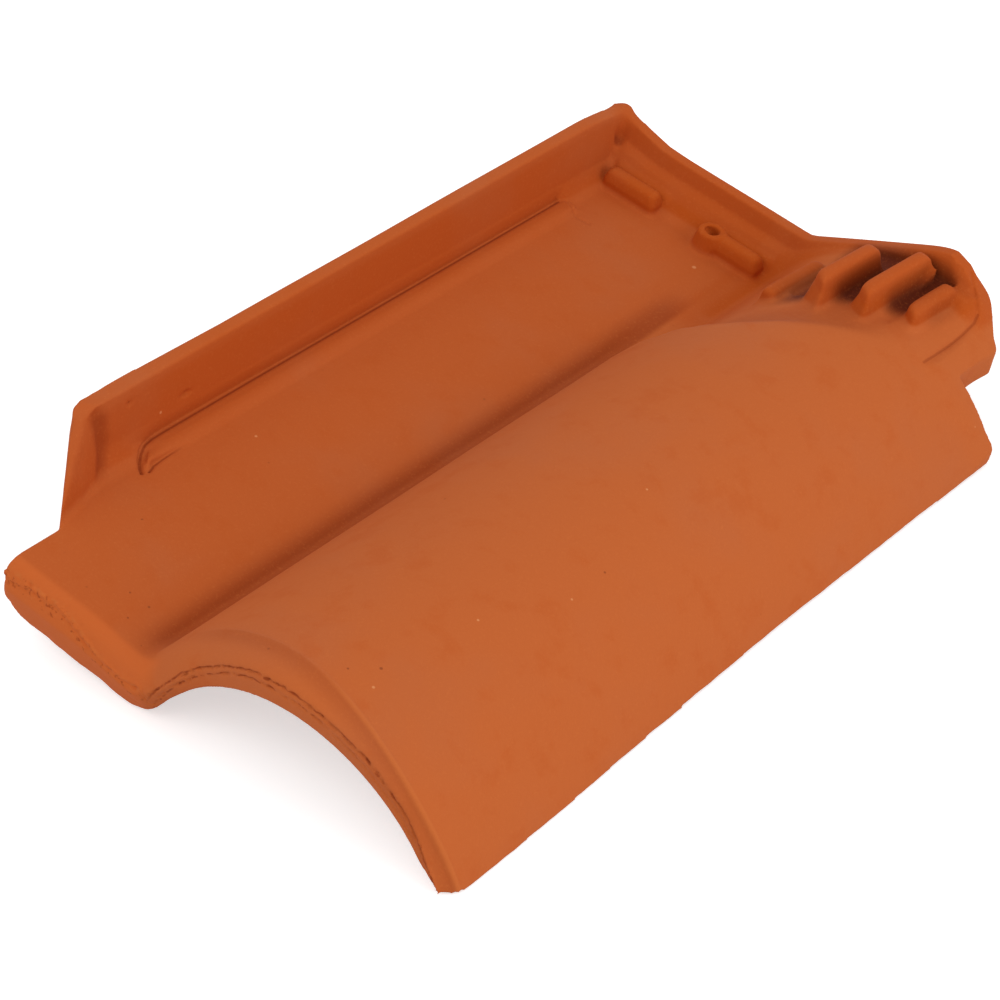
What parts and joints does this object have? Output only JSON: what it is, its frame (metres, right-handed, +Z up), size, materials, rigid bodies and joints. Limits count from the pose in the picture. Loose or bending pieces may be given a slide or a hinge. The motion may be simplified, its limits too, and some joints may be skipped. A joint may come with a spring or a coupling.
{
  "type": "clay roof tile",
  "caption": "Interlocking clay roof tile: flat pan with raised side and head walls, wide cover roll, nail boss and weather fins.",
  "frame": {"origin": "centre of the tile's footprint on the level floor it rests on", "axes": "+Y along the tile from its tail (nose) to its head, +X across from the side wall towards the roll's free edge, +Z up. The tile lies as it rests unheld, leaning about 11 degrees around Y onto the free edge"},
  "size_m": [0.2444, 0.4, 0.0751],
  "materials": {
    "fired_clay": "matte unglazed fired clay"
  },
  "bodies": {
    "root": {"roof_tile": "fired_clay"}
  },
  "joints": []
}
